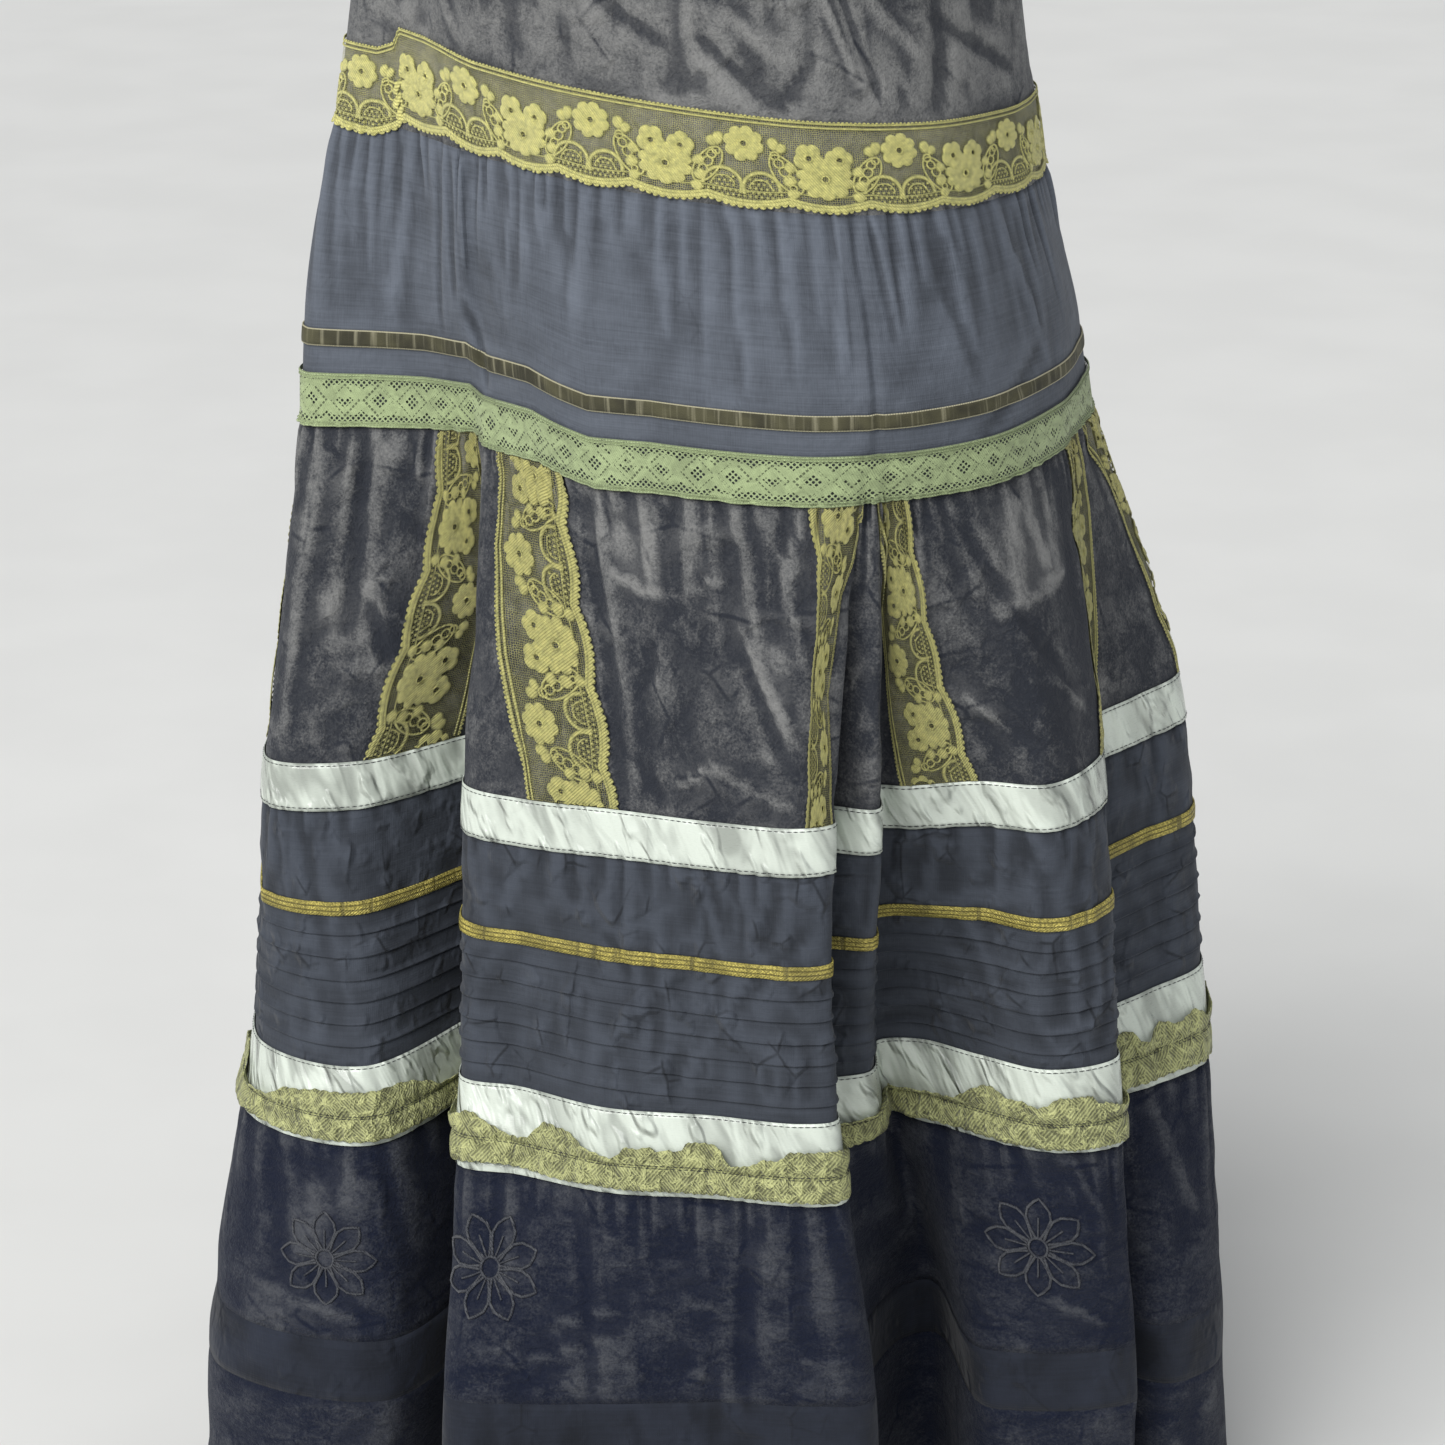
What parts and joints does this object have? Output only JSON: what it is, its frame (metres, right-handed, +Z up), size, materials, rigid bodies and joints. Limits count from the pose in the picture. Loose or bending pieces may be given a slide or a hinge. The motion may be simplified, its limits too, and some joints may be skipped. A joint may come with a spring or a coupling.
{
  "type": "tiered maxi skirt",
  "caption": "Long tiered skirt, worn and hollow, with gathered velvet and cotton tiers, scalloped lace, satin bands, ribbon and a lace ruffle.",
  "frame": {"origin": "centre of the waist opening, half way up the waistband", "axes": "+Z up along the hanging skirt, -Y towards the front, +X to the right as seen from the front"},
  "size_m": [0.5631, 0.447, 0.9629],
  "materials": {
    "grey_velvet": "crushed pile",
    "blue_grey_cloth": "matte",
    "chartreuse_lace": "lace",
    "sage_lace": "lace",
    "olive_ribbon": "velvet pile",
    "pale_satin": "satin",
    "slate_cotton": "matte",
    "gold_trim": "metallic thread",
    "olive_ruffle": "lace",
    "black_velvet": "crushed pile"
  },
  "bodies": {
    "root": {"waistband": "grey_velvet", "yoke_front": "grey_velvet", "yoke_back": "grey_velvet", "hip_lace": "chartreuse_lace", "hip_tier_front": "blue_grey_cloth", "hip_tier_back": "blue_grey_cloth", "velvet_ribbon": "olive_ribbon", "green_lace": "sage_lace", "velvet_tier_front": "grey_velvet", "velvet_tier_back": "grey_velvet", "lace_strip_left_a": "chartreuse_lace", "lace_strip_left_b": "chartreuse_lace", "lace_strip_middle_a": "chartreuse_lace", "lace_strip_middle_b": "chartreuse_lace", "lace_strip_right_a": "chartreuse_lace", "lace_strip_right_b": "chartreuse_lace", "lace_strip_back_right_a": "chartreuse_lace", "lace_strip_back_right_b": "chartreuse_lace", "lace_strip_back_middle_a": "chartreuse_lace", "lace_strip_back_middle_b": "chartreuse_lace", "lace_strip_back_left_a": "chartreuse_lace", "lace_strip_back_left_b": "chartreuse_lace", "upper_satin": "pale_satin", "pintuck_tier_front": "slate_cotton", "pintuck_tier_back": "slate_cotton", "gold_trim": "gold_trim", "lower_satin": "pale_satin", "ruffle": "olive_ruffle", "bottom_tier_front": "black_velvet", "bottom_tier_back": "black_velvet", "matte_band_front": "slate_cotton", "matte_band_back": "slate_cotton", "hem_tier_front": "black_velvet", "hem_tier_back": "black_velvet"}
  },
  "joints": []
}
